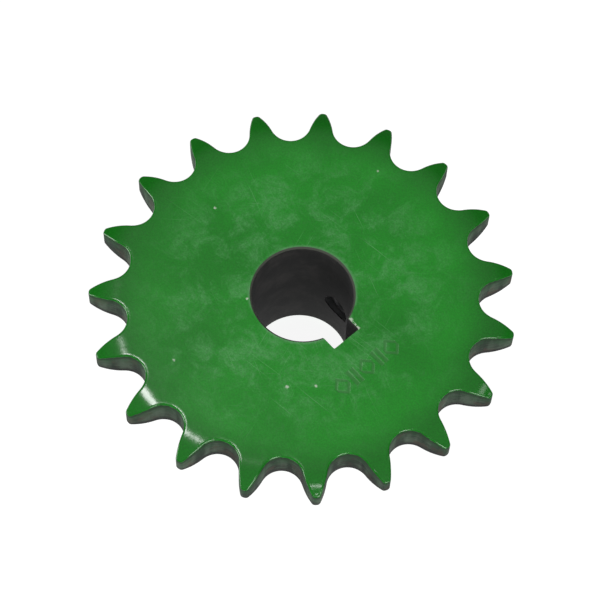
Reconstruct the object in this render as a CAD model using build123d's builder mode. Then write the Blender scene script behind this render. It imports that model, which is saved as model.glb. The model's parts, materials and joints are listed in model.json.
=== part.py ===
from build123d import *
import math
import os

# Plate wheel for roller chain, with a hub welded to its back, bored and keyed for a shaft.
# The origin is on the bore's axis, in the middle of the tooth width (the chain line).
# +Z leaves through the painted front face, and the hub hangs below the plate.
# +X runs through the middle of the keyway and the middle of one tooth.
# +Y runs through the set screw that bears on the bare shaft.

# Chain and teeth
chain_pitch = 15.875
roller_diameter = 10.16
teeth = 19
plate_thickness = 9.1
tip_relief = 2.2              # how far each side falls away at a tooth's tip
tip_relief_radius = 15.9      # the arc that takes it there
tip_round = 1.0               # rounding of a tooth's outer corners
cut_margin = 1.0              # how far a cutting shape runs past what it cuts

# Hub and shaft bore
hub_diameter = 50.0
hub_projection = 30.9         # from the plate's back to the hub's end
hub_end_chamfer = 1.5
bore_diameter = 25.0
bore_front_chamfer = 0.45
bore_end_chamfer = 1.5        # at the hub's end, where the shaft goes in
weld_leg = 5.0
weld_crown = 0.6              # how far the weld stands out past a straight fillet

# Keyway, for a key 8 mm wide and 7 mm high
key_width = 8.0
keyway_depth = 3.5            # from the bore's wall to the keyway's floor
keyway_corner = 0.4
key_top_gap = 0.3             # between the keyway's floor and the top of the key

# Set screws: one over the key, and one a quarter turn from it on the bare shaft
screw_diameter = 8.0
screw_clearance = 0.05        # radial gap between a screw and its hole
screw_to_hub_end = 15.0
screw_turn = 1.25             # what one turn of the screw moves it
key_screw_sink = 0.25         # from the hub's surface down to the screw's outer end
side_screw_sink = 1.25
screw_chamfer = 0.8
screw_hex = 4.0               # across flats
screw_socket_depth = 4.0
screw_cup_diameter = 5.0
screw_cup_depth = 1.2
screw_countersink = 0.8       # how much wider the hole's mouth is, on each side

# Heights and radii that follow
front_z = plate_thickness / 2
back_z = -plate_thickness / 2
hub_end_z = back_z - hub_projection
screw_z = hub_end_z + screw_to_hub_end
through_all = plate_thickness + hub_projection
bore_radius = bore_diameter / 2
hub_radius = hub_diameter / 2
screw_hole_radius = screw_diameter / 2
keyway_floor = bore_radius + keyway_depth

# The standard tooth form for this chain
half_tooth = 180 / teeth
pitch_radius = chain_pitch / 2 / math.sin(math.radians(half_tooth))
tip_radius = chain_pitch / 2 * (0.6 + 1 / math.tan(math.radians(half_tooth)))
seat_radius = 0.505 * roller_diameter
seat_half_angle = 70 - 45 / teeth
flank_radius = 0.12 * roller_diameter * (teeth + 2)

# Each flank is a circle that touches the seat's circle where the seat ends
seat_end = math.radians(180 - seat_half_angle)
mouth_x = pitch_radius + seat_radius * math.cos(seat_end)
flank_x = pitch_radius + (seat_radius + flank_radius) * math.cos(seat_end)
flank_y = (seat_radius + flank_radius) * math.sin(seat_end)

# Both sides of the plate fall away from here on an arc, out to the tips
relief_rise = tip_relief_radius - tip_relief
relief_start = tip_radius - math.sqrt(tip_relief_radius**2 - relief_rise**2)
relief_turn = math.degrees(math.acos(relief_rise / tip_relief_radius))

os.makedirs("parts", exist_ok=True)


def on_tooth_corner(vertex):
    """True for the corners outside the pitch circle, where a flank meets the tip circle."""
    return math.hypot(vertex.X, vertex.Y) > pitch_radius


# Gap between two teeth: a mouth between two flank circles, and the roller's round seat
with BuildSketch() as tooth_gap:
    with Locations((mouth_x, 0)):
        mouth_length = tip_radius + cut_margin - mouth_x
        Rectangle(mouth_length, 2 * flank_y, align=(Align.MIN, Align.CENTER))
    with Locations((flank_x, flank_y), (flank_x, -flank_y)):
        Circle(flank_radius, mode=Mode.SUBTRACT)
    with Locations((pitch_radius, 0)):
        Circle(seat_radius)

# Keyway: from the bore's axis out to its floor, with rounded far corners
with BuildSketch() as keyway:
    Rectangle(keyway_floor, key_width, align=(Align.MIN, Align.CENTER))
    fillet(keyway.vertices().group_by(Axis.X)[-1], keyway_corner)

# Toothed plate: a turned blank with a rounded rim, cut to the outline of the teeth
with BuildPart() as toothed_plate:
    with BuildSketch(Plane.XZ):
        with BuildLine():
            front_centre = (relief_start, front_z - tip_relief_radius)
            back_centre = (relief_start, back_z + tip_relief_radius)
            front_arc = CenterArc(front_centre, tip_relief_radius, 90, -relief_turn)
            back_arc = CenterArc(back_centre, tip_relief_radius, -90, relief_turn)
            Polyline(front_arc @ 0, (bore_radius, front_z), (bore_radius, back_z), back_arc @ 0)
            Line(back_arc @ 1, front_arc @ 1)
        make_face()
    revolve(axis=Axis.Z)
    with BuildSketch(Plane.XY.offset(back_z)) as outline:
        Circle(tip_radius)
        with PolarLocations(0, teeth, start_angle=half_tooth):
            add(tooth_gap.sketch, mode=Mode.SUBTRACT)
        fillet(outline.vertices().filter_by(on_tooth_corner), tip_round)
    extrude(amount=plate_thickness, mode=Mode.INTERSECT)
    front_edges = toothed_plate.faces().sort_by(Axis.Z)[-1].edges()
    chamfer(front_edges.filter_by(GeomType.CIRCLE).sort_by(SortBy.DISTANCE)[0], bore_front_chamfer)
    extrude(keyway.sketch, amount=through_all, both=True, mode=Mode.SUBTRACT)
toothed_plate.part.label = "toothed_plate"
export_step(toothed_plate.part, "parts/toothed_plate.step")

# Hub: a turned boss that butts on the plate's back, drilled for both set screws
with BuildPart() as hub:
    with BuildSketch(Plane.XY.offset(hub_end_z)):
        Circle(hub_radius)
        Circle(bore_radius, mode=Mode.SUBTRACT)
    extrude(amount=hub_projection)
    end_edges = hub.faces().sort_by(Axis.Z)[0].edges().sort_by(SortBy.RADIUS)
    chamfer(end_edges[-1], hub_end_chamfer)
    end_edges = hub.faces().sort_by(Axis.Z)[0].edges().sort_by(SortBy.RADIUS)
    chamfer(end_edges[0], bore_end_chamfer)
    extrude(keyway.sketch, amount=through_all, both=True, mode=Mode.SUBTRACT)
    with Locations(
        Plane(origin=(hub_radius, 0, screw_z), z_dir=(1, 0, 0)),
        Plane(origin=(0, hub_radius, screw_z), z_dir=(0, 1, 0)),
    ):
        CounterSinkHole(screw_hole_radius, screw_hole_radius + screw_countersink, hub_radius, 90)
hub.part.label = "hub"
export_step(hub.part, "parts/hub.step")

# Weld: a fillet all round, in the corner between the plate's back and the hub
with BuildPart() as weld_bead:
    with BuildSketch(Plane.XZ):
        with BuildLine():
            plate_leg = Line((hub_radius, back_z), (hub_radius + weld_leg, back_z))
            hub_leg = Line((hub_radius, back_z), (hub_radius, back_z - weld_leg))
            SagittaArc(plate_leg @ 1, hub_leg @ 1, weld_crown)
        make_face()
    revolve(axis=Axis.Z)
weld_bead.part.label = "weld_bead"
export_step(weld_bead.part, "parts/weld_bead.step")


def make_set_screw(name, outward, tip_reach, sink):
    """A cup-point socket screw on this outward direction, with its tip this far from the axis."""
    length = hub_radius - tip_reach - sink
    tip_plane = Plane(origin=Vector(0, 0, screw_z) + outward * tip_reach, z_dir=outward)
    with BuildPart() as screw:
        with BuildSketch(tip_plane):
            Circle(screw_hole_radius - screw_clearance)
        extrude(amount=length)
        chamfer(screw.edges().filter_by(GeomType.CIRCLE), screw_chamfer)
        with BuildSketch(tip_plane.offset(length)):
            RegularPolygon(screw_hex / 2, 6, major_radius=False)
        extrude(amount=-min(screw_socket_depth, length / 2), mode=Mode.SUBTRACT)
        with BuildSketch(tip_plane):
            Circle(screw_cup_diameter / 2)
        with BuildSketch(tip_plane.offset(screw_cup_depth)):
            Circle(screw_cup_diameter / 10)
        loft(mode=Mode.SUBTRACT)
    screw.part.label = name
    export_step(screw.part, f"parts/{name}.step")


make_set_screw("key_set_screw", Vector(1, 0, 0), keyway_floor - key_top_gap + screw_turn, key_screw_sink)
make_set_screw("side_set_screw", Vector(0, 1, 0), bore_radius + screw_turn, side_screw_sink)
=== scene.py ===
import json

import bpy
import numpy as np
from mathutils import Matrix, Vector


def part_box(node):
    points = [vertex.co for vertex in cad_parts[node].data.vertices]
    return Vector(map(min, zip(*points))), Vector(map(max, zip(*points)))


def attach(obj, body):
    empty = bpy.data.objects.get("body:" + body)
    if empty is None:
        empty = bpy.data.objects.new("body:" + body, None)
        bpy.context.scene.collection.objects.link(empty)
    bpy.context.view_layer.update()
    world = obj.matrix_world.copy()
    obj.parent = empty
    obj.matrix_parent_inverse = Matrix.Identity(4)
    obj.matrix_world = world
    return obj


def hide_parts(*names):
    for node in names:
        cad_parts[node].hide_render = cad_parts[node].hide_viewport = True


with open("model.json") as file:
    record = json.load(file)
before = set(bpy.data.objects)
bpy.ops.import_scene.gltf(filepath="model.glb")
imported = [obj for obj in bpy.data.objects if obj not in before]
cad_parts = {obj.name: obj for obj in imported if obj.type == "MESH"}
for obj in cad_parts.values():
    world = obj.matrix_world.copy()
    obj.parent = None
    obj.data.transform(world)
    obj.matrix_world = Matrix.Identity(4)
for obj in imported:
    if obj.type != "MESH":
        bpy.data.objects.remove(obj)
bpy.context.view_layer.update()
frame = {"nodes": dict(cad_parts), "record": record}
mm = 0.001
fullTurn = 2 * np.pi
print("frame loaded:", sorted(frame["nodes"]))


def edgesOf(node):
    # the lowest and the highest corner of the node's box, in metres
    low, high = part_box(node)
    return np.array(low), np.array(high)


plateLow, plateHigh = edgesOf("toothed_plate")
hubLow, hubHigh = edgesOf("hub")
weldHigh = edgesOf("weld_bead")[1]
screwLow, screwHigh = edgesOf("key_set_screw")
mounts = {m["name"]: m for m in frame["record"]["mounts"]}
boreRadius = mounts["bore"]["dims"]["r_mm"] * mm
hubRadius = hubHigh[0]
frontZ, backZ, hubEndZ = plateHigh[2], plateLow[2], hubLow[2]
screwZ = (screwLow[2] + screwHigh[2]) / 2  # the height of both screws' axes
screwRadius = (screwHigh[2] - screwLow[2]) / 2

cameraLook = {
    "aim": (0.78 * mm, -1.57 * mm),  # where the sight line meets the front face
    "distance": 574.4 * mm,
    "azimuth": -44.03,               # degrees round from +X
    "elevation": 64.29,              # degrees up from the plate
    "roll": 2.77,                    # degrees, the camera's top leaning left
    "lens": 141.57,                  # mm, with a sensor this many mm wide
    "sensor": 36.0,
    "nearest": 10 * mm,              # anything closer isn't drawn
}


def addCamera(look):
    # the camera stands at the aim plus the distance times (cos el cos az, cos el sin az, sin el),
    # looks back along that line, and is rolled about it
    az, el, roll = np.radians([look["azimuth"], look["elevation"], look["roll"]])
    aim = Vector((look["aim"][0], look["aim"][1], frontZ))
    away = Vector((np.cos(el) * np.cos(az), np.cos(el) * np.sin(az), np.sin(el)))
    camera = bpy.data.objects.new("camera", bpy.data.cameras.new("camera"))
    bpy.context.scene.collection.objects.link(camera)
    turn = away.to_track_quat("Z", "Y").to_matrix().to_4x4() @ Matrix.Rotation(roll, 4, "Z")
    camera.matrix_world = Matrix.Translation(aim + away * look["distance"]) @ turn
    camera.data.lens = look["lens"]
    camera.data.sensor_width = look["sensor"]
    camera.data.clip_start = look["nearest"]
    bpy.context.scene.camera = camera


addCamera(cameraLook)
print("camera placed")

crease = np.radians(32)  # where two faces meet at more than this, the edge stays sharp


def meshFromGrid(name, rows, closeAcross, capStart=False, capEnd=False):
    # rows is a grid of points, rows[i, j] with j running round; the faces point to the side
    # where the rows run to the left of the round direction; a cap is a fan of triangles to the
    # mean of an end row
    count, around = rows.shape[:2]
    points = rows.reshape(-1, 3)
    i = np.arange(count if closeAcross else count - 1)[:, None]
    j = np.arange(around)[None, :]
    nextI, nextJ = (i + 1) % count, (j + 1) % around
    corners = [i * around + j, i * around + nextJ, nextI * around + nextJ, nextI * around + j]
    faces = np.stack([c + 0 * (i + j) for c in corners], axis=-1).reshape(-1, 4).tolist()
    extra = []
    ring = np.arange(around)
    if capStart:
        extra.append(rows[0].mean(axis=0))
        faces += np.stack([ring * 0 + len(points), (ring + 1) % around, ring], axis=-1).tolist()
    if capEnd:
        last = (count - 1) * around
        tip = len(points) + len(extra)
        extra.append(rows[-1].mean(axis=0))
        faces += np.stack([ring * 0 + tip, last + ring, last + (ring + 1) % around], axis=-1).tolist()
    if extra:
        points = np.vstack([points, extra])
    mesh = bpy.data.meshes.new(name)
    mesh.from_pydata(points.tolist(), [], faces)
    mesh.polygons.foreach_set("use_smooth", np.ones(len(mesh.polygons), bool))
    mesh.set_sharp_from_angle(angle=crease)
    mesh.update()
    piece = bpy.data.objects.new(name, mesh)
    bpy.context.scene.collection.objects.link(piece)
    return piece


def giveAttribute(piece, name, values):
    # one number for each point, in the order of the points, for a material to read
    layer = piece.data.attributes.new(name, "FLOAT", "POINT")
    layer.data.foreach_set("value", values.astype(np.float32).ravel())


wheelSizes = {
    "teeth": 19,
    "chainPitch": 15.875 * mm,
    "roller": 10.16 * mm,
    "tipShare": 0.6,             # of half a pitch, added to the cotangent for the tip circle
    "seatShare": 0.505,          # of the roller's diameter
    "flankShare": 0.12,          # of the roller's diameter, for each tooth and for two more
    "seatDegrees": (70, 45),     # half the seat is the first less the second over the teeth
    "tipRelief": 2.2 * mm,       # how far each face falls away at a tooth's tip
    "reliefRadius": 15.9 * mm,   # the arc that takes it there
    "tipRound": 1.0 * mm,
    "edgeRound": 0.55 * mm,      # soft painted edge between a face and the gap walls
    "boreChamfer": 0.45 * mm,
    "keyHalfWidth": 4.0 * mm,
    "keyFloor": 16.0 * mm,
    "keyCorner": 0.25 * mm,
    "faceSag": 0.03 * mm,        # how far the painted face wavers below flat
    # slow waves of the face: length, heading and start, the last two in radians
    "faceWaves": [(21 * mm, 0.3, 0.2), (17 * mm, 1.5, 1.1), (13 * mm, 2.4, 2.6), (9 * mm, 0.9, 4.0)],
    # points along half a tooth
    "seatSteps": 15,
    "flankSteps": 11,
    "roundSteps": 6,
    "landSteps": 2,
    # more spokes along the keyway's sides, from a share of the bore's radius, and some degrees
    # past its corners
    "keySpokes": 13,
    "keySpokesFrom": 0.93,
    "cornerSpokes": [0.15, 0.4, 0.8],
    # rows of points: shares of the way from hole to rim, and up the bore's chamfer
    "frontShares": [0, 0.008, *np.linspace(0.04, 0.7, 8), *np.linspace(0.76, 1, 13)],
    "backShares": [0, 0.03, 0.25, 0.5, *np.linspace(0.72, 1, 9)],
    "chamferShares": [0.08, 0.5, 0.94],
    "bendSteps": 6,              # round each soft edge
    "wallSteps": 6,
    "boreSteps": 6,
}


def arc(centre, radius, start, end, steps):
    # centre plus radius times (cos, sin) of evenly spaced angles
    angles = np.linspace(start, end, steps)
    return np.stack([centre[0] + radius * np.cos(angles), centre[1] + radius * np.sin(angles)], axis=-1)


def halfTooth(s):
    # from the middle of a gap, on +X, to the middle of the next tooth: the roller's seat, the
    # bulging flank that touches it, the rounded corner inside flank and tip circles, the land
    step = np.pi / s["teeth"]
    pitchRadius = s["chainPitch"] / 2 / np.sin(step)
    tipRadius = s["chainPitch"] / 2 * (s["tipShare"] + 1 / np.tan(step))
    seat = s["seatShare"] * s["roller"]
    flank = s["flankShare"] * s["roller"] * (s["teeth"] + 2)
    seatEnd = np.radians(180 - (s["seatDegrees"][0] - s["seatDegrees"][1] / s["teeth"]))
    toSeatEnd = np.array([np.cos(seatEnd), np.sin(seatEnd)])
    flankCentre = np.array([pitchRadius, 0]) + (seat + flank) * toSeatEnd
    # the corner's centre is one corner radius inside both circles, found by the law of cosines
    toFlank, toAxis = flank - s["tipRound"], tipRadius - s["tipRound"]
    reach = np.hypot(*flankCentre)
    bend = np.arccos((reach**2 + toAxis**2 - toFlank**2) / (2 * reach * toAxis))
    heading = np.arctan2(flankCentre[1], flankCentre[0]) - bend
    roundCentre = toAxis * np.array([np.cos(heading), np.sin(heading)])
    leave = roundCentre - flankCentre
    leaveAngle = np.arctan2(leave[1], leave[0])
    # each run's points, its centre, and whether the outside is away from the centre (1) or not
    runs = [
        (arc((pitchRadius, 0), seat, np.pi, seatEnd, s["seatSteps"]), (pitchRadius, 0), -1),
        (arc(flankCentre, flank, seatEnd - np.pi, leaveAngle, s["flankSteps"])[1:], flankCentre, 1),
        (arc(roundCentre, s["tipRound"], leaveAngle, heading, s["roundSteps"])[1:], roundCentre, 1),
        (arc((0, 0), tipRadius, heading, step, s["landSteps"] + 1)[1:], (0, 0), 1),
    ]
    points = np.vstack([run for run, _, _ in runs])
    away = []
    for run, centre, side in runs:
        fromCentre = run - np.array(centre)
        away.append(side * fromCentre / np.hypot(*fromCentre.T)[:, None])
    away = np.vstack(away)
    angle = np.arctan2(points[:, 1], points[:, 0])
    outward = np.stack([np.cos(angle), np.sin(angle)], axis=-1)
    sideways = np.stack([-np.sin(angle), np.cos(angle)], axis=-1)
    return angle, np.hypot(*points.T), (away * outward).sum(-1), (away * sideways).sum(-1)


def toothOutline(s):
    # the half tooth mirrored and turned round all the teeth, as polar angle and radius, with
    # the outline's own outward direction split into its radial and its sideways share
    angle, radius, radial, sideways = halfTooth(s)
    step = np.pi / s["teeth"]
    onePitch = [
        np.concatenate([step - angle[::-1], step + angle[1:-1]]),
        np.concatenate([radius[::-1], radius[1:-1]]),
        np.concatenate([radial[::-1], radial[1:-1]]),
        np.concatenate([-sideways[::-1], sideways[1:-1]]),
    ]
    turns = np.arange(s["teeth"])[:, None] * 2 * step
    theta = (onePitch[0] + turns).ravel()
    others = [np.tile(values, s["teeth"]) for values in onePitch[1:]]
    alongSide = np.linspace(boreRadius * s["keySpokesFrom"], s["keyFloor"], s["keySpokes"])
    keySpokes = np.arctan2(s["keyHalfWidth"], alongSide)
    keySpokes = np.concatenate([keySpokes, keySpokes[-1] - np.radians(s["cornerSpokes"])])
    keySpokes = np.concatenate([keySpokes, fullTurn - keySpokes])
    everySpoke = np.unique(np.round(np.concatenate([theta, keySpokes]), 6))
    found = [np.interp(everySpoke, theta, values, period=fullTurn) for values in others]
    return everySpoke, found[0], found[1], found[2]


def keyedRadius(theta, radius, s):
    # the larger of the bore's radius and the distance to the keyway's floor or side, whichever
    # is nearer, with a soft minimum of the two for the keyway's corners
    tiny = 1e-6  # keeps the divisions from zero
    floor = s["keyFloor"] / np.maximum(np.cos(theta), tiny)
    side = s["keyHalfWidth"] / np.maximum(np.abs(np.sin(theta)), tiny)
    soft = s["keyCorner"]
    slot = -soft * np.logaddexp(-floor / soft, -side / soft)
    slot = np.where(np.cos(theta) > 0, slot, 0)
    return np.maximum(radius, slot)


def relief(radius, s):
    # nothing inside the start circle, then an arc that falls away to the tip
    tipRadius = plateHigh[0]
    rise = s["reliefRadius"] - s["tipRelief"]
    start = tipRadius - np.sqrt(s["reliefRadius"] ** 2 - rise**2)
    run = np.clip(radius - start, 0, None)
    return s["reliefRadius"] - np.sqrt(s["reliefRadius"] ** 2 - run**2)


def faceWaver(x, y, s):
    # a few slow waves of different length and heading added up, always on or below zero
    total = 0
    for length, heading, start in s["faceWaves"]:
        total = total + np.sin((x * np.cos(heading) + y * np.sin(heading)) * fullTurn / length + start)
    count = len(s["faceWaves"])
    return -s["faceSag"] * (total + count) / (2 * count)


def buildWheel(s):
    # rows of points round the wheel: out over the front, round the soft edge, down the gap
    # walls, round the back's soft edge, in over the back, up the bore and its chamfer
    theta, outer, radial, sideways = toothOutline(s)
    outward = np.stack([np.cos(theta), np.sin(theta)], axis=-1)
    across = np.stack([-np.sin(theta), np.cos(theta)], axis=-1)
    edge = outward * outer[:, None]
    away = outward * radial[:, None] + across * sideways[:, None]
    away /= np.hypot(*away.T)[:, None]
    soft = s["edgeRound"]
    inner = edge - away * soft
    innerAngle, innerRadius = np.arctan2(inner[:, 1], inner[:, 0]), np.hypot(*inner.T)
    rim = relief(innerRadius, s)
    rows, kinds, depths = [], [], []  # kinds: 0 painted face, 1 gap wall, 2 bore

    def offsetRow(inset, z):
        # the outline moved in along its own outward direction, at this height
        return np.column_stack([edge - away * inset, np.broadcast_to(z, theta.shape)])

    def faceRow(share, holeRadius, side):
        # this share of the way from hole to rim; the face waves most halfway, by 4 s (1 - s)
        start = keyedRadius(innerAngle, holeRadius, s)
        radius = start + (innerRadius - start) * share
        x, y = radius * np.cos(innerAngle), radius * np.sin(innerAngle)
        fall = relief(radius, s) - faceWaver(x, y, s) * share * (1 - share) * 4
        z = frontZ - fall if side > 0 else backZ + fall
        return np.column_stack([x, y, z])

    def holeRow(holeRadius, z):
        # the keyed hole's own outline, at this height
        radius = keyedRadius(innerAngle, holeRadius, s)
        return np.column_stack([radius * np.cos(innerAngle), radius * np.sin(innerAngle), 0 * radius + z])

    def add(row, kind, depth=0):
        # depth runs from 0 at the front face to 1 at the back face, along the gap walls
        rows.append(row)
        kinds.append(kind)
        depths.append(depth)

    # a soft edge is a quarter circle: in by 1 - sin b of its radius, and down by 1 - cos b
    bends = np.radians(np.linspace(0, 90, s["bendSteps"]))[1:]
    for share in s["frontShares"]:
        add(faceRow(share, boreRadius + s["boreChamfer"], 1), 0)
    for b in bends:
        add(offsetRow(soft * (1 - np.sin(b)), frontZ - rim - soft * (1 - np.cos(b))), b / np.pi * 2)
    top, bottom = frontZ - rim - soft, backZ + rim + soft
    for share in np.linspace(0, 1, s["wallSteps"])[1:-1]:
        add(offsetRow(0, top + (bottom - top) * share), 1, share)
    for b in bends[::-1]:
        add(offsetRow(soft * (1 - np.sin(b)), backZ + rim + soft * (1 - np.cos(b))), b / np.pi * 2, 1)
    for share in s["backShares"][::-1]:
        add(faceRow(share, boreRadius, -1), 0 if share > 0 else 2)
    for share in np.linspace(0, 1, s["boreSteps"])[1:]:
        add(holeRow(boreRadius, backZ + (frontZ - s["boreChamfer"] - backZ) * share), 2)
    for share in s["chamferShares"]:
        add(holeRow(boreRadius + s["boreChamfer"] * share, frontZ - s["boreChamfer"] * (1 - share)), 2)
    grid = np.array(rows)
    wheel = meshFromGrid("toothedWheel", grid[::-1], closeAcross=True)
    kind = np.repeat(np.array(kinds)[::-1, None], grid.shape[1], axis=1)
    depth = np.repeat(np.array(depths, float)[::-1, None], grid.shape[1], axis=1)
    giveAttribute(wheel, "wallShare", np.clip(kind, 0, 1))
    giveAttribute(wheel, "boreShare", np.clip(kind - 1, 0, 1))
    giveAttribute(wheel, "wallDepth", depth)
    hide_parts("toothed_plate")
    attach(wheel, "wheel")
    print("toothed wheel:", grid.shape, "points")
    return wheel


wheel = buildWheel(wheelSizes)


class Finish:
    # one material: its nodes are added and joined by short calls, and every pattern reads
    # Object coordinates in millimetres
    def __init__(self, name):
        # x, y, z and the distance from the bore's axis, all in mm, are ready for every pattern
        self.material = bpy.data.materials.new(name)
        self.material.use_nodes = True
        self.tree = self.material.node_tree
        self.shader = self.tree.nodes["Principled BSDF"]
        self.place = self.maths3("SCALE", self.add("TexCoord").outputs["Object"], amount=1 / mm)
        self.x, self.y, self.z = self.add("SeparateXYZ", {0: self.place}).outputs
        flat = self.mapped(self.place, (1, 1, 0))
        self.radius = self.add("VectorMath", {0: flat}, operation="LENGTH").outputs["Value"]

    def add(self, kind, given=None, **settings):
        # a new node of this kind, with its settings, and a value or a link in each socket
        node = self.tree.nodes.new("ShaderNode" + kind)
        for key, value in settings.items():
            setattr(node, key, value)
        for key, value in (given or {}).items():
            self.put(value, node.inputs[key])
        return node

    def put(self, value, socket):
        # a socket given is linked, and anything else is set as the constant
        if isinstance(value, bpy.types.NodeSocket):
            self.tree.links.new(value, socket)
        else:
            socket.default_value = value

    def maths(self, operation, a, b=0.0):
        # one sum on two numbers
        return self.add("Math", {0: a, 1: b}, operation=operation).outputs[0]

    def maths3(self, operation, a, b=None, amount=None):
        # one sum on vectors or colours, with a second one or with a plain number
        node = self.add("VectorMath", {0: a}, operation=operation)
        if b is not None:
            self.put(b, node.inputs[1])
        if amount is not None:
            self.put(amount, node.inputs["Scale"])
        return node.outputs[0]

    def mapped(self, where, scale, turn=(0, 0, 0)):
        # the place stretched along each axis, then turned
        return self.add("Mapping", {"Vector": where, "Scale": scale, "Rotation": turn}).outputs[0]

    def distance(self, where):
        # mm from this fixed place
        return self.add("VectorMath", {0: self.place, 1: where}, operation="DISTANCE").outputs["Value"]

    def noise(self, scale, detail=3.0, rough=0.5, warp=0.0, where=None):
        # noise from 0 to 1 with this many features to each mm
        given = {"Vector": where or self.place, "Scale": scale, "Detail": detail}
        given.update({"Roughness": rough, "Distortion": warp})
        return self.add("TexNoise", given).outputs[0]

    def stretched(self, perMm, detail, rough=0.5):
        # noise with its own number of features to each mm along x, y and z
        return self.noise(1.0, detail, rough, where=self.mapped(self.place, perMm))

    def spread(self, value, low, high, first=0.0, last=1.0):
        # first where the value is low or less, last where it is high or more, smooth between
        given = {0: value, 1: low, 2: high, 3: first, 4: last}
        return self.add("MapRange", given, interpolation_type="SMOOTHSTEP").outputs[0]

    def under(self, value, edges):
        # all where the value is under the first edge, none where it is over the second
        return self.spread(value, *edges, 1.0, 0.0)

    def pattern(self, noise, edges):
        # noise spread between its edges
        return self.spread(self.noise(*noise), *edges)

    def ragged(self, noise, reach):
        # noise less its middle, times how far it reaches from one end to the other
        return self.maths("MULTIPLY", self.maths("SUBTRACT", self.noise(*noise), 0.5), reach)

    def blend(self, share, a, b):
        # colour a where the share is 0, colour b where it is 1
        return self.add("Mix", {0: share, 6: a, 7: b}, data_type="RGBA").outputs[2]

    def between(self, share, a, b):
        # number a where the share is 0, number b where it is 1
        return self.add("Mix", {0: share, 2: a, 3: b}, data_type="FLOAT").outputs[0]

    def either(self, *values):
        # the largest of the values
        total = values[0]
        for value in values[1:]:
            total = self.maths("MAXIMUM", total, value)
        return total

    def both(self, *values):
        # the product of the values
        total = values[0]
        for value in values[1:]:
            total = self.maths("MULTIPLY", total, value)
        return total

    def attribute(self, name):
        # a number that the mesh carries at its points
        return self.add("Attribute", attribute_name=name).outputs["Fac"]

    def finish(self, colour, roughness, height, depth, metallic=0.0):
        # joins everything to the shader; a height of 1 stands depth mm above a height of 0
        bump = self.add("Bump", {"Strength": 1.0, "Distance": depth * mm, "Height": height})
        self.put(colour, self.shader.inputs["Base Color"])
        self.put(roughness, self.shader.inputs["Roughness"])
        self.put(metallic, self.shader.inputs["Metallic"])
        self.put(bump.outputs[0], self.shader.inputs["Normal"])
        return self.material


# In the looks below, a noise is its features to each mm, detail, roughness and warp, and a
# stretched noise has three numbers of features, along x, y and z. Edges are the values a mask
# starts and ends at, with the two values it runs between where those aren't 0 and 1.
enamelLook = {
    "deepGreen": (0.003, 0.173, 0.005, 1),
    "freshGreen": (0.006, 0.222, 0.008, 1),
    "cloudNoise": (0.035, 3.0, 0.55),
    "cloudEdges": (0.35, 0.65),
    # painted shade: the green is darker towards the tips; these edges are in mm from the axis
    "tipShadeGreen": (0.002, 0.118, 0.003, 1),
    "tipEdges": (38.5, 48.5, 0.0, 0.80),
    "tipNoise": (0.2, 2.0),
    "tipWander": 3.0,
    # a dusty haze: all inside the first edge, in mm from the axis, and none past the second
    "haze": (0.075, 0.290, 0.085, 1),
    "hazeShare": 0.72,
    "hazeEdges": (24.0, 47.0),
    "patchNoise": (0.15, 8.0, 0.70, 0.5),
    "patchEdges": (0.43, 0.66),
    "dustNoise": (1.1, 5.0, 0.75),
    "dustEdges": (0.32, 0.70, 0.30, 1.0),
    "grainNoise": (2.6, 3.0, 0.6),
    "grainEdges": (0.3, 0.7, 0.86, 1.14),
    # scratches: heading in radians, features to each mm across and along, least noise kept
    "scratch": (0.16, 0.40, 0.17, 1),
    "scratchShare": 0.36,
    "scratchSets": [
        (-0.16, 3.2, 0.035, 0.680),
        (0.35, 3.8, 0.050, 0.695),
        (1.25, 3.0, 0.045, 0.700),
        (-0.80, 3.4, 0.055, 0.705),
    ],
    "scratchThrough": 0.2,   # features to each mm through the plate
    "scratchSoft": 0.10,
    "scratchNoise": (0.05, 2.0),
    "scratchWander": 1.6,    # mm
    "placeNoise": (0.06, 2.0),
    "placeEdges": (0.42, 0.6),
    # pale knocks, in a few cells of a pattern of cells
    "knock": (0.34, 0.46, 0.30, 1),
    "knockShare": 0.8,
    "knocksPerMm": 0.16,
    "knockChosen": (0.86, 0.87),
    "knockNoise": (1.6, 2.0),
    "knockWander": 0.12,
    "knockEdges": (0.070, 0.125),
    "gloss": 0.165,
    "dull": 0.28,
    "hazeDulls": 0.5,
    "unevenness": 0.024,     # mm
    "broadBumps": (0.45, 2.0, 0.5),
    "smallBumps": (2.2, 3.0, 0.6),
    "smallShare": 0.12,
    "markDepth": 0.12,
}


def scratches(f, look, turn, across, along, least):
    # noise drawn out into long thin lines that wander a little, with only its peaks kept
    wander = f.maths("MULTIPLY", f.noise(*look["scratchNoise"]), look["scratchWander"])
    bent = f.maths3("ADD", f.place, f.maths3("SCALE", (1.0, 1.0, 0.0), amount=wander))
    turned = f.mapped(bent, (1, 1, 1), (0, 0, turn))
    lines = f.noise(1.0, 1.0, where=f.mapped(turned, (along, across, look["scratchThrough"])))
    return f.spread(lines, least, least + look["scratchSoft"])


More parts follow.
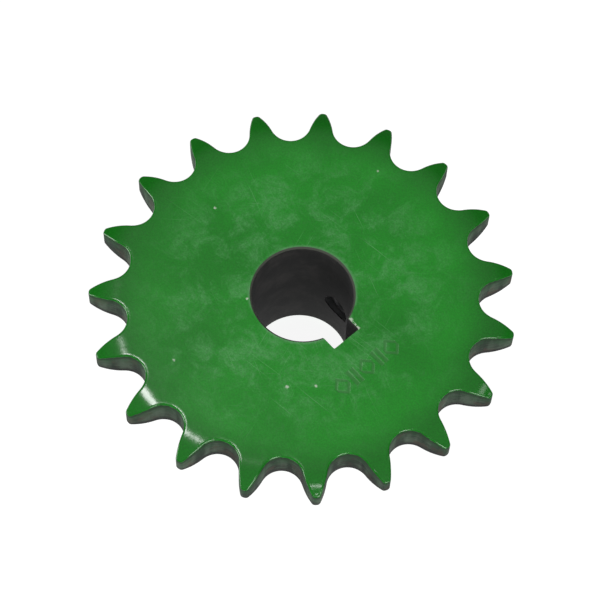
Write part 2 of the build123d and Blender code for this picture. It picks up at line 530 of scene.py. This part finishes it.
def painted(f, look):
    # the green coat: two close greens in slow clouds, with painted shade darker to the tips; a dusty
    # haze that is thicker near the bore, a fine grain, long thin scratches, pale knocks, a soft
    # unevenness
    clouds = f.pattern(look["cloudNoise"], look["cloudEdges"])
    green = f.blend(clouds, look["deepGreen"], look["freshGreen"])
    # painted shade: the green darkens towards the tooth tips
    wander = f.maths("MULTIPLY", f.noise(*look["tipNoise"]), look["tipWander"])
    tipShade = f.spread(f.maths("ADD", f.radius, wander), *look["tipEdges"])
    green = f.blend(tipShade, green, look["tipShadeGreen"])
    inside = f.under(f.radius, look["hazeEdges"])
    patches = f.pattern(look["patchNoise"], look["patchEdges"])
    haze = f.both(inside, patches, f.pattern(look["dustNoise"], look["dustEdges"]))
    green = f.blend(f.maths("MULTIPLY", haze, look["hazeShare"]), green, look["haze"])
    grained = f.maths3("SCALE", green, amount=f.pattern(look["grainNoise"], look["grainEdges"]))
    lines = f.either(*[scratches(f, look, *values) for values in look["scratchSets"]])
    lines = f.both(lines, f.pattern(look["placeNoise"], look["placeEdges"]), inside)
    green = f.blend(f.maths("MULTIPLY", lines, look["scratchShare"]), grained, look["scratch"])
    cells = f.add("TexVoronoi", {"Vector": f.place, "Scale": look["knocksPerMm"]})
    cellColour = f.add("SeparateColor", {0: cells.outputs["Color"]}).outputs[0]
    chosen = f.spread(cellColour, *look["knockChosen"])
    wander = f.maths("MULTIPLY", f.noise(*look["knockNoise"]), look["knockWander"])
    near = f.maths("ADD", cells.outputs["Distance"], wander)
    knocks = f.both(chosen, f.under(near, look["knockEdges"]))
    green = f.blend(f.maths("MULTIPLY", knocks, look["knockShare"]), green, look["knock"])
    dull = f.either(f.maths("MULTIPLY", haze, look["hazeDulls"]), lines, knocks)
    roughness = f.between(dull, look["gloss"], look["dull"])
    small = f.maths("MULTIPLY", f.noise(*look["smallBumps"]), look["smallShare"])
    height = f.maths("ADD", f.noise(*look["broadBumps"]), small)
    marks = f.maths("MULTIPLY", f.either(lines, knocks), look["markDepth"])
    return green, roughness, f.maths("SUBTRACT", height, marks)


wallLook = {
    "steel": (0.002, 0.012, 0.004, 1),
    "pale": (0.062, 0.094, 0.062, 1),
    "paleEdges": (0.40, 0.62),
    "streaks": ((0.30, 0.30, 3.2), 3.0, 0.6),  # stretched along the cut
    "streakShare": 0.40,
    "patches": ((0.34, 0.34, 0.06), 3.0),      # stretched from face to face
    "patchShare": 0.60,
    "rust": (0.050, 0.030, 0.020, 1),
    "rustShare": 0.7,
    "rustNoise": (0.22, 4.0, 0.6),
    "rustEdges": (0.52, 0.66),
    "overspray": (0.006, 0.060, 0.014, 1),
    "oversprayShare": 0.75,
    "mistNoise": (0.5, 3.0, 0.6),
    "mistEdges": (0.30, 0.62),
    # depths run from 0 at the front face to 1 at the back face
    "mistDepths": (0.0, 0.75),
    # painted shade: the walls darken towards the front edge and, nearly black, towards the back edge
    "frontEdgeShade": (0.002, 0.030, 0.004, 1),
    "frontShadeDepths": (0.03, 0.22, 0.9, 0.0),
    "backEdgeShade": (0.001, 0.002, 0.001, 1),
    "backShadeDepths": (0.70, 0.97),
    "roughness": 0.88,
    "bump": 0.5,             # share of the paint's unevenness
    # where the paint gives way to the bare wall, made ragged by noise
    "borderNoise": (0.9, 4.0, 0.65),
    "borderReach": 0.9,
    "borderEdges": (0.62, 0.80),
}


def bareWall(f, look):
    # the cut sides of the teeth: dark and pale patches that reach from face to face, fine lines
    # along the cut, brown stains, green mist near the front edge, and painted shade along both edges
    streaks = f.stretched(*look["streaks"])
    patches = f.maths("MULTIPLY", f.stretched(*look["patches"]), look["patchShare"])
    lit = f.maths("ADD", f.maths("MULTIPLY", streaks, look["streakShare"]), patches)
    colour = f.blend(f.spread(lit, *look["paleEdges"]), look["steel"], look["pale"])
    rust = f.both(f.pattern(look["rustNoise"], look["rustEdges"]), look["rustShare"])
    colour = f.blend(rust, colour, look["rust"])
    depth = f.attribute("wallDepth")
    mist = f.both(f.under(depth, look["mistDepths"]), f.pattern(look["mistNoise"], look["mistEdges"]))
    colour = f.blend(f.maths("MULTIPLY", mist, look["oversprayShare"]), colour, look["overspray"])
    # painted shade along the front and the back edge of each wall
    colour = f.blend(f.spread(depth, *look["frontShadeDepths"]), colour, look["frontEdgeShade"])
    return f.blend(f.spread(depth, *look["backShadeDepths"]), colour, look["backEdgeShade"]), streaks


boreLook = {
    "steel": (0.002, 0.002, 0.002, 1),
    "worn": (0.026, 0.023, 0.022, 1),
    # painted light: the screw holes' plain ends are paler grey, as if their walls were lit
    "drilled": (0.13, 0.13, 0.13, 1),  # the screw holes' plain ends
    "lip": (0.046, 0.052, 0.038, 1),
    "lipHeights": (4.0, 4.225),        # mm
    "rings": ((0.02, 0.02, 9.0), 2.0),
    "ringEdges": (0.2, 0.8, 0.7, 1.0),
    "stainNoise": (0.16, 4.0, 0.6),
    "stainEdges": (0.40, 0.70),
    "roughness": 0.78,
    "bump": 0.3,                       # share of the paint's unevenness
    "meshEdges": (0.02, 0.10),         # of the share of bore that the wheel's mesh carries
}


def boreSteel(f, look):
    # a bore turned and then left to darken: very fine rings, soft stains, a brown-grey lip
    rings = f.stretched(*look["rings"])
    stains = f.pattern(look["stainNoise"], look["stainEdges"])
    wear = f.both(stains, f.spread(rings, *look["ringEdges"]))
    colour = f.blend(wear, look["steel"], look["worn"])
    return f.blend(f.spread(f.z, *look["lipHeights"]), colour, look["lip"]), rings


# a plain stamped border mark: diamonds and pairs of bars in a row beside the keyway, in mm
stampLook = {
    "rowX": 24.6,
    "fromY": -11.0,
    "toY": 8.6,
    "endSoft": 0.1,          # over which the row's ends fade
    "cell": 3.92,
    "diamond": 2.1,
    "barHalfHeight": 2.3,
    "barApart": 0.70,
    # a line fades between two shares of its width, and all of it at a distance from the row
    "line": 0.56,
    "lineEdges": (0.4, 1.3),
    "tallEdges": (2.6, 2.7),
    "faceHeights": (3.9, 4.0),
    "shade": (0.006, 0.125, 0.008, 1),
    "shadeShare": 0.62,
    "depth": 1.0,            # share of the paint's unevenness
}


def stampedRow(f, look):
    # along y the row repeats in cells; in turn each cell holds a diamond's outline, where
    # |u| + |v| is constant, or two upright bars, where |u| is constant and |v| is short
    steps = f.maths("DIVIDE", f.maths("SUBTRACT", f.y, look["fromY"]), look["cell"])
    u = f.maths("MULTIPLY", f.maths("SUBTRACT", f.maths("FRACT", steps), 0.5), look["cell"])
    u = f.maths("ABSOLUTE", u)
    v = f.maths("ABSOLUTE", f.maths("SUBTRACT", f.x, look["rowX"]))
    odd = f.maths("FLOORED_MODULO", f.maths("FLOOR", steps), 2.0)
    fromDiamond = f.maths("ABSOLUTE", f.maths("SUBTRACT", f.maths("ADD", u, v), look["diamond"]))
    fromBar = f.maths("ABSOLUTE", f.maths("SUBTRACT", u, look["barApart"]))
    pastBar = f.maths("SUBTRACT", v, look["barHalfHeight"] - look["line"])
    away = f.between(odd, fromDiamond, f.maths("MAXIMUM", fromBar, pastBar))
    line = f.under(away, [look["line"] * share for share in look["lineEdges"]])
    started = f.spread(f.y, look["fromY"], look["fromY"] + look["endSoft"])
    within = f.both(started, f.under(f.y, (look["toY"], look["toY"] + look["endSoft"])))
    return f.both(line, within, f.under(v, look["tallEdges"]), f.spread(f.z, *look["faceHeights"]))


# rubbed and chipped places on the front; lengths in mm, radii from the bore's axis
wearLook = {
    "ring": (0.10, 0.27, 0.11, 1),
    "ringShare": 0.7,
    "ringRadii": (12.9, 13.75),
    "ringNoise": (0.12, 2.0),
    "ringEdges": (0.38, 0.55),
    "faceHeights": (3.9, 4.0),
    "bared": (0.50, 0.58, 0.46, 1),
    "baredShare": 0.85,
    "baredRoughness": 0.5,
    "raggedNoise": (1.2, 4.0, 0.65),
    "raggedReach": 1.2,
    # the bared strip along one upper edge of the keyway
    "stripReach": 0.25,      # share of the raggedness above
    "stripFromY": (3.8, 3.9),
    "stripToY": (4.32, 4.5),
    "stripFromX": (12.0, 12.3),
    "stripToX": (15.9, 16.3),
    "stripHeights": (4.2, 4.3),
    "stripNoise": (2.0, 3.0),
    "stripEdges": (0.36, 0.5),
    # a chip at the corner of bore and keyway
    "chipPlace": (12.75, 4.35, 4.5),
    "chipReach": 0.9,
    "chipEdges": (0.15, 0.50),
    # single knocks: x, y and size
    "knockPlaces": [
        (-7.9, -11.1, 0.45),
        (16.0, -19.2, 0.6),
        (20.4, -13.8, 0.5),
        (-7.1, -35.0, 0.45),
        (-32.0, -0.7, 0.5),
    ],
    "knockHeight": 4.55,
    "knockNoise": (2.2, 3.0, 0.6),
    "knockReach": 0.9,
    "knockCore": 0.1,        # share of the size that is bared all through
}


def frontKnocks(f, look):
    # where the distance to one of the listed places, made ragged by noise, is under its size
    ragged = f.ragged(look["knockNoise"], look["knockReach"])
    masks = []
    for x, y, size in look["knockPlaces"]:
        near = f.maths("ADD", f.distance((x, y, look["knockHeight"])), ragged)
        masks.append(f.under(near, (size * look["knockCore"], size)))
    return f.either(*masks)


def rimWear(f, look):
    # a pale rubbed ring round the bore's front edge, and the bared upper edge of the keyway
    ragged = f.ragged(look["raggedNoise"], look["raggedReach"])
    ring = f.under(f.maths("ADD", f.radius, ragged), look["ringRadii"])
    onFace = f.spread(f.z, *look["faceHeights"])
    ring = f.both(ring, f.pattern(look["ringNoise"], look["ringEdges"]), onFace)
    nearY = f.maths("ADD", f.y, f.maths("MULTIPLY", ragged, look["stripReach"]))
    beside = f.both(f.under(nearY, look["stripToY"]), f.spread(f.y, *look["stripFromY"]))
    along = f.both(f.spread(f.x, *look["stripFromX"]), f.under(f.x, look["stripToX"]))
    strip = f.both(beside, along, f.spread(f.z, *look["stripHeights"]))
    strip = f.both(strip, f.pattern(look["stripNoise"], look["stripEdges"]))
    near = f.maths("ADD", f.distance(look["chipPlace"]), f.maths("MULTIPLY", ragged, look["chipReach"]))
    return ring, f.either(strip, f.under(near, look["chipEdges"]))


def wheelFinish():
    # paint with its stamped row and wear; then the bare gap walls over it, and over both the bore
    f = Finish("greenEnamelWheel")
    green, gloss, height = painted(f, enamelLook)
    stamp = stampedRow(f, stampLook)
    green = f.blend(f.maths("MULTIPLY", stamp, stampLook["shadeShare"]), green, stampLook["shade"])
    height = f.maths("SUBTRACT", height, f.maths("MULTIPLY", stamp, stampLook["depth"]))
    ring, bared = rimWear(f, wearLook)
    green = f.blend(f.maths("MULTIPLY", ring, wearLook["ringShare"]), green, wearLook["ring"])
    bared = f.either(bared, frontKnocks(f, wearLook))
    green = f.blend(f.maths("MULTIPLY", bared, wearLook["baredShare"]), green, wearLook["bared"])
    gloss = f.between(f.either(bared, stamp), gloss, wearLook["baredRoughness"])
    border = f.ragged(wallLook["borderNoise"], wallLook["borderReach"])
    wall = f.spread(f.maths("ADD", f.attribute("wallShare"), border), *wallLook["borderEdges"])
    hole = f.spread(f.attribute("boreShare"), *boreLook["meshEdges"])
    steel, streaks = bareWall(f, wallLook)
    dark, rings = boreSteel(f, boreLook)
    colour = f.blend(hole, f.blend(wall, green, steel), dark)
    rough = f.between(hole, f.between(wall, gloss, wallLook["roughness"]), boreLook["roughness"])
    bumps = f.between(wall, height, f.maths("MULTIPLY", streaks, wallLook["bump"]))
    bumps = f.between(hole, bumps, f.maths("MULTIPLY", rings, boreLook["bump"]))
    return f.finish(colour, rough, bumps, enamelLook["unevenness"])


wheel.data.materials.append(wheelFinish())
print("wheel painted")

weldSizes = {
    "ripples": 132,
    "perRipple": 6,
    "section": 11,
    "crown": 0.55 * mm,
    "rippleDepth": 0.28 * mm,
    "rippleBow": 0.8,         # ripples that a ripple's middle runs ahead of its ends
    "drift": (5, 0.15),       # waves round the hub, and how many ripples they shift
    "wander": 0.22 * mm,      # how unevenly the toes run
    # the toes' waves: how many round the hub, start in radians, share
    "toeWaves": [(7, 1, 0.5), (17, 0, 0.3), (29, 2, 0.2)],
    "hubInset": 1.3,          # how far the toe on the hub is held back, in wanders
    "slant": 0.7071,          # share of a lift that goes outward, and that goes down
}


def buildWeld(s):
    # a fillet's section swept round the hub; its outer skin rises and falls in bowed
    # ripples, and its toes wander a little, always inside the full fillet
    count = s["ripples"] * s["perRipple"]
    angle = np.arange(count) / count * fullTurn
    t = np.linspace(0, 1, s["section"])[:, None]
    leg = weldHigh[0] - hubRadius
    waves = sum(np.sin(many * angle + start) * share for many, start, share in s["toeWaves"])
    wander = s["wander"] * (1 + waves) / 2
    legPlate, legHub = leg - wander, leg + wander - s["hubInset"] * s["wander"]
    many, share = s["drift"]
    bow = s["rippleBow"] * (1 - (2 * t - 1) ** 2)
    phase = (angle * s["ripples"] / fullTurn + bow + share * np.sin(many * angle)) * np.pi
    arch = 4 * t * (1 - t)
    lift = s["crown"] * arch - s["rippleDepth"] * (1 - np.abs(np.sin(phase))) * np.sqrt(arch)
    radius = hubRadius + legPlate * (1 - t) + lift * s["slant"]
    z = weldHigh[2] - legHub * t - lift * s["slant"]
    ringR = np.vstack([radius, hubRadius + 0 * angle])
    ringZ = np.vstack([z, weldHigh[2] + 0 * angle])
    grid = np.stack([ringR * np.cos(angle), ringR * np.sin(angle), ringZ], axis=-1)
    weld = meshFromGrid("weldRipples", grid[::-1], closeAcross=True)
    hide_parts("weld_bead")
    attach(weld, "wheel")
    return weld


weld = buildWeld(weldSizes)
print("weld laid")

# the screws and their threads; lengths are in metres, and only the lists of rows are in mm
threadSizes = {
    "pitch": 1.25 * mm,
    "depth": 0.68 * mm,
    "crestShare": 1 / 16,    # half the crest's width, as a share of the pitch
    "flankDegrees": 30,
    "rows": 16,              # steps along one pitch
    "around": 60,
    "endChamfer": 0.8 * mm,
    # the cup: mm above the screw's tip, and mm from its axis
    "cupRows": [(1.2, 0.5), (0.6, 1.5), (0.04, 2.47), (0.0, 2.62)],
    # the hexagon socket: mm below the outer end, mm wider than the hexagon, the hexagon's share
    "hexFlat": 4.0 * mm,
    "socketRows": [
        (0.0, 0.35, 1),
        (0.05, 0.12, 1),
        (0.2, 0, 1),
        (1.2, 0, 1),
        (2.6, 0, 1),
        (3.88, 0, 1),
        (4.0, 0, 0.9),
        (4.08, 0, 0.4),
    ],
    "faceInset": 0.15 * mm,  # the outer end's flat stops this far inside its chamfer
    # the hub's thread
    "holeGap": 0.05 * mm,    # from the screw's outside to the drilled hole's wall
    "cutRoom": 0.06 * mm,    # room between the screw's thread and the hub's
    "cutBehind": 0.02 * mm,  # how far behind the wall the thread's bottom lies
    "backBehind": 0.04 * mm,  # how far behind it the sleeve's back lies
    "leadSlope": 1.2,        # how fast the thread rises from each end of the hole
    "holeMouth": 0.95 * mm,  # the drilled holes' countersinks
    "plainEnd": 1.5 * mm,    # the side hole is plain where it breaks into the bore
}


def threadHeight(along, angle, s, extra=0.0):
    # share of the thread's depth at a place: flat crest, sloping flanks, flat root, moving on by
    # one pitch for each turn
    phase = np.mod(along / s["pitch"] - angle / fullTurn, 1) - 0.5
    flank = s["depth"] * np.tan(np.radians(s["flankDegrees"])) / s["pitch"]
    crest = s["crestShare"] + extra / s["pitch"]
    return np.clip((crest + flank - np.abs(phase)) / flank, 0, 1)


def standing(axis, along, radius, angle):
    # cylinder coordinates about a line through the hub at the screws' height
    across, up = radius * np.cos(angle), radius * np.sin(angle) + screwZ
    if axis == "x":
        return np.stack(np.broadcast_arrays(along, across, up), axis=-1)
    return np.stack(np.broadcast_arrays(-across, along, up), axis=-1)


def threadRows(start, end, s):
    # evenly spaced places along the axis, this many to each pitch, and the angles round it
    steps = int(round((end - start) / s["pitch"] * s["rows"]))
    return np.linspace(start, end, steps)[:, None], np.arange(s["around"]) / s["around"] * fullTurn


def buildScrew(name, node, body, axis, s):
    # rows from the cup's centre, out over the point, along the thread, over the outer end and
    # down the hexagon socket to its floor
    low, high = edgesOf(node)
    k = 0 if axis == "x" else 1
    tip, end, crest = low[k], high[k], (high[2] - low[2]) / 2
    along, angle = threadRows(tip, end, s)
    height = threadHeight(along, angle, s)
    taper = crest - s["endChamfer"] + np.minimum(along - tip, end - along)
    shank = standing(axis, along, np.minimum(crest - s["depth"] + s["depth"] * height, taper), angle)
    cup = [standing(axis, tip + up * mm, r * mm + 0 * angle, angle) for up, r in s["cupRows"]]
    hexagon = s["hexFlat"] / 2 / np.cos(np.mod(angle, np.pi / 3) - np.pi / 6)
    outerFace = [standing(axis, end, crest - s["endChamfer"] - s["faceInset"] + 0 * angle, angle)]
    socket = []
    for down, wider, share in s["socketRows"]:
        socket.append(standing(axis, end - down * mm, wider * mm + hexagon * share, angle))
    rows = np.array(cup + list(shank) + outerFace + socket)
    screw = meshFromGrid(name, rows, closeAcross=False, capStart=True, capEnd=True)
    crests = np.zeros(rows.shape[:2])
    crests[len(cup):len(cup) + len(shank)] = height
    giveAttribute(screw, "crestShare", np.concatenate([crests.ravel(), [0, 0]]))
    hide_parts(node)
    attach(screw, body)
    return screw


def buildCutThread(name, axis, start, end, s):
    # the hub's own thread: a sleeve in the drilled hole, its inside cut to the same helix as the
    # screw with a little room, its outside just behind the hole's wall
    hole = screwRadius + s["holeGap"]
    along, angle = threadRows(start, end, s)
    bottom = hole + s["cutBehind"]
    cut = bottom - s["depth"] * (1 - threadHeight(along, angle, s, s["cutRoom"]))
    lead = np.minimum(along - start, end - along) * s["leadSlope"]
    cut = np.maximum(cut, bottom - lead)
    outside = [standing(axis, a, hole + s["backBehind"] + 0 * angle, angle) for a in (end, start)]
    rows = np.array(list(standing(axis, along, cut, angle)) + outside)
    sleeve = meshFromGrid(name, rows[::-1], closeAcross=True)
    crests = np.zeros(rows.shape[:2])
    crests[:len(along)] = (bottom - cut) / s["depth"]
    giveAttribute(sleeve, "crestShare", crests[::-1])
    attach(sleeve, "wheel")
    return sleeve


keyScrew = buildScrew("keySetScrew", "key_set_screw", "key_screw", "x", threadSizes)
sideScrew = buildScrew("sideSetScrew", "side_set_screw", "side_screw", "y", threadSizes)
mouth = hubRadius - threadSizes["holeMouth"]
keySleeve = buildCutThread("keyHoleThread", "x", wheelSizes["keyFloor"], mouth, threadSizes)
sideStart = boreRadius + threadSizes["plainEnd"]
sideSleeve = buildCutThread("sideHoleThread", "y", sideStart, mouth, threadSizes)
print("screws and threads cut")

# where the hub is bare, in mm: radii from the bore's axis, then places along x and y
hubLook = {
    "borderNoise": (0.9, 4.0, 0.65),
    "borderReach": 0.8,
    "boreRadii": (12.75, 13.05),
    "keySides": (4.05, 4.15),
    "keyFloor": (16.1, 16.3),
    "keyFrom": (5.0, 6.0),
    "holeRadii": (4.6, 4.8),     # from a screw's own axis
    "holeFrom": (3.0, 4.0),
    # painted light: radii past which the screw holes are paler, as if lit
    "litHoleRadii": (12.6, 12.9),
}


def hubFinish(look):
    # painted all over, but bare where it was machined: bore, keyway and the screw holes
    f = Finish("greenEnamelHub")
    green, gloss, height = painted(f, enamelLook)
    border = f.ragged(look["borderNoise"], look["borderReach"])
    bore = f.under(f.maths("ADD", f.radius, border), look["boreRadii"])
    beside = f.under(f.maths("ABSOLUTE", f.y), look["keySides"])
    short = f.under(f.maths("ADD", f.x, border), look["keyFloor"])
    keyway = f.both(beside, short, f.spread(f.x, *look["keyFrom"]))
    fromZ = f.maths("SUBTRACT", f.z, screwZ / mm)
    holes = []
    for a, b in ((f.x, f.y), (f.y, f.x)):
        squares = f.maths("ADD", f.maths("MULTIPLY", b, b), f.maths("MULTIPLY", fromZ, fromZ))
        reach = f.maths("ADD", f.maths("SQRT", squares), border)
        holes.append(f.both(f.under(reach, look["holeRadii"]), f.spread(a, *look["holeFrom"])))
    drilled = f.either(*holes)
    bare = f.either(bore, keyway, drilled)
    dark, rings = boreSteel(f, boreLook)
    # painted light: the holes' plain ends past the bore turn paler grey, as if lit
    past = f.spread(f.radius, *look["litHoleRadii"])
    dark = f.blend(f.both(drilled, past), dark, boreLook["drilled"])
    rough = f.between(bare, gloss, boreLook["roughness"])
    bumps = f.between(bare, height, f.maths("MULTIPLY", rings, boreLook["bump"]))
    return f.finish(f.blend(bare, green, dark), rough, bumps, enamelLook["unevenness"])


weldLook = {
    "soot": (0.02, 0.06, 0.02, 1),
    "sootShare": 0.6,
    "sootNoise": (0.5, 4.0, 0.6),
    "sootEdges": (0.45, 0.7),
}


def weldFinish(look):
    # the same paint, with a share of dark soot in patches
    f = Finish("greenEnamelWeld")
    green, gloss, height = painted(f, enamelLook)
    soot = f.both(f.pattern(look["sootNoise"], look["sootEdges"]), look["sootShare"])
    return f.finish(f.blend(soot, green, look["soot"]), gloss, height, enamelLook["unevenness"])


# black and bright of the screws, then of the hub's own threads, and what both share
screwLook = {
    "black": (0.020, 0.020, 0.022),
    "bright": (0.22, 0.21, 0.20, 1),
    "roughness": (0.38, 0.53),   # least and most
}
cutThreadLook = {
    "black": (0.20, 0.20, 0.21),
    "bright": (0.30, 0.30, 0.29, 1),
    "roughness": (0.45, 0.60),
}
steelLook = {
    "tintNoise": (0.8, 4.0, 0.6),
    "tintEdges": (0.3, 0.7, 0.7, 1.3),
    "rubbedCrest": (0.7, 1.0),   # of the thread's height
    "rubbedNoise": (1.5, 3.0, 0.6),
    "rubbedEdges": (0.4, 0.65),
    "rubbedShare": 0.8,
    "rubbedRoughness": 0.3,
    "roughNoise": (2.0, 2.0),
    "roughEdges": (0.2, 0.8),
    "bumpNoise": (3.0, 3.0, 0.6),
    "bumpDepth": 0.02,           # mm
    "metallic": 0.4,
}


def screwFinish(name, look, steel):
    # black oxide, rubbed bright along the thread's crests
    f = Finish(name)
    tint = f.pattern(steel["tintNoise"], steel["tintEdges"])
    black = f.maths3("SCALE", look["black"], amount=tint)
    crest = f.spread(f.attribute("crestShare"), *steel["rubbedCrest"])
    rubbed = f.both(crest, f.pattern(steel["rubbedNoise"], steel["rubbedEdges"]), steel["rubbedShare"])
    rough = f.pattern(steel["roughNoise"], steel["roughEdges"] + look["roughness"])
    rough = f.between(rubbed, rough, steel["rubbedRoughness"])
    colour = f.blend(rubbed, black, look["bright"])
    return f.finish(colour, rough, f.noise(*steel["bumpNoise"]), steel["bumpDepth"], steel["metallic"])


def dress(pieces, finish):
    # this finish in place of any other, on each of the pieces
    for piece in pieces:
        piece.data.materials.clear()
        piece.data.materials.append(finish)


hubPaint = hubFinish(hubLook)
for slot in frame["nodes"]["hub"].material_slots:
    slot.material = hubPaint
dress([weld], weldFinish(weldLook))
dress([keyScrew, sideScrew], screwFinish("blackSetScrew", screwLook, steelLook))
dress([keySleeve, sideSleeve], screwFinish("cutThreadSteel", cutThreadLook, steelLook))
print("hub, weld and screws finished")

studio = {
    "floorSize": 3.0,        # metres
    "floorGap": 0.05 * mm,   # below the hub's end
    "floorColour": (0.22, 0.22, 0.22, 1),
    "floorGlow": 0.90,
    "overhead": (0.45, 0.46, 0.47, 1),
    "horizon": (0.12, 0.12, 0.12, 1),
    "softEdges": (0.50, 0.90),  # heights on the sky's unit sphere: the overhead light grows here
}


def addFloor(look):
    # a flat square below the hub's end, matt and glowing, so that it shows as plain white paper
    half = look["floorSize"] / 2
    level = hubEndZ - look["floorGap"]
    corners = [(-half, -half, level), (half, -half, level), (half, half, level), (-half, half, level)]
    mesh = bpy.data.meshes.new("floor")
    mesh.from_pydata(corners, [], [(0, 1, 2, 3)])
    floor = bpy.data.objects.new("floor", mesh)
    bpy.context.scene.collection.objects.link(floor)
    paper = bpy.data.materials.new("palePaper")
    paper.use_nodes = True
    shader = paper.node_tree.nodes["Principled BSDF"]
    shader.inputs["Base Color"].default_value = look["floorColour"]
    shader.inputs["Roughness"].default_value = 1.0
    shader.inputs["Specular IOR Level"].default_value = 0.0
    shader.inputs["Emission Color"].default_value = (1, 1, 1, 1)
    shader.inputs["Emission Strength"].default_value = look["floorGlow"]
    mesh.materials.append(paper)


def addSky(look):
    # the horizon's grey that turns into the overhead grey between two heights
    world = bpy.data.worlds.new("surround")
    world.use_nodes = True
    tree = world.node_tree
    place = tree.nodes.new("ShaderNodeTexCoord")
    height = tree.nodes.new("ShaderNodeSeparateXYZ")
    share = tree.nodes.new("ShaderNodeMapRange")
    share.interpolation_type = "SMOOTHSTEP"
    share.inputs[1].default_value, share.inputs[2].default_value = look["softEdges"]
    mix = tree.nodes.new("ShaderNodeMix")
    mix.data_type = "RGBA"
    mix.inputs[6].default_value, mix.inputs[7].default_value = look["horizon"], look["overhead"]
    tree.links.new(place.outputs["Generated"], height.inputs[0])
    tree.links.new(height.outputs["Z"], share.inputs[0])
    tree.links.new(share.outputs[0], mix.inputs[0])
    tree.links.new(mix.outputs[2], tree.nodes["Background"].inputs["Color"])
    bpy.context.scene.world = world


# heading, distance and size across in metres, power in watts
softboxes = {
    "leftSoftbox": ((-0.330, -0.008, 0.944), 1.2, 0.22, 3.0),
    "frontSoftbox": ((0.325, -0.192, 0.926), 1.0, 0.06, 0.20),
    "backSoftbox": ((0.381, 0.536, 0.753), 1.2, 0.12, 0.2),
    "rightFill": ((0.80, -0.20, 0.56), 1.6, 0.9, 15.5),
    "leftFill": ((-0.60, -0.72, 0.18), 1.6, 0.9, 15.0),
}


def addSoftbox(name, heading, distance, size, power):
    # a round lamp at the heading's unit vector times the distance, facing the origin
    direction = Vector(heading).normalized()
    lamp = bpy.data.lights.new(name, "AREA")
    lamp.shape = "DISK"
    lamp.size = size
    lamp.energy = power
    light = bpy.data.objects.new(name, lamp)
    bpy.context.scene.collection.objects.link(light)
    turn = direction.to_track_quat("Z", "Y").to_matrix().to_4x4()
    light.matrix_world = Matrix.Translation(direction * distance) @ turn


addFloor(studio)
addSky(studio)
for name, settings in softboxes.items():
    addSoftbox(name, *settings)
bpy.context.scene.view_settings.view_transform = "Standard"
print("studio lit")
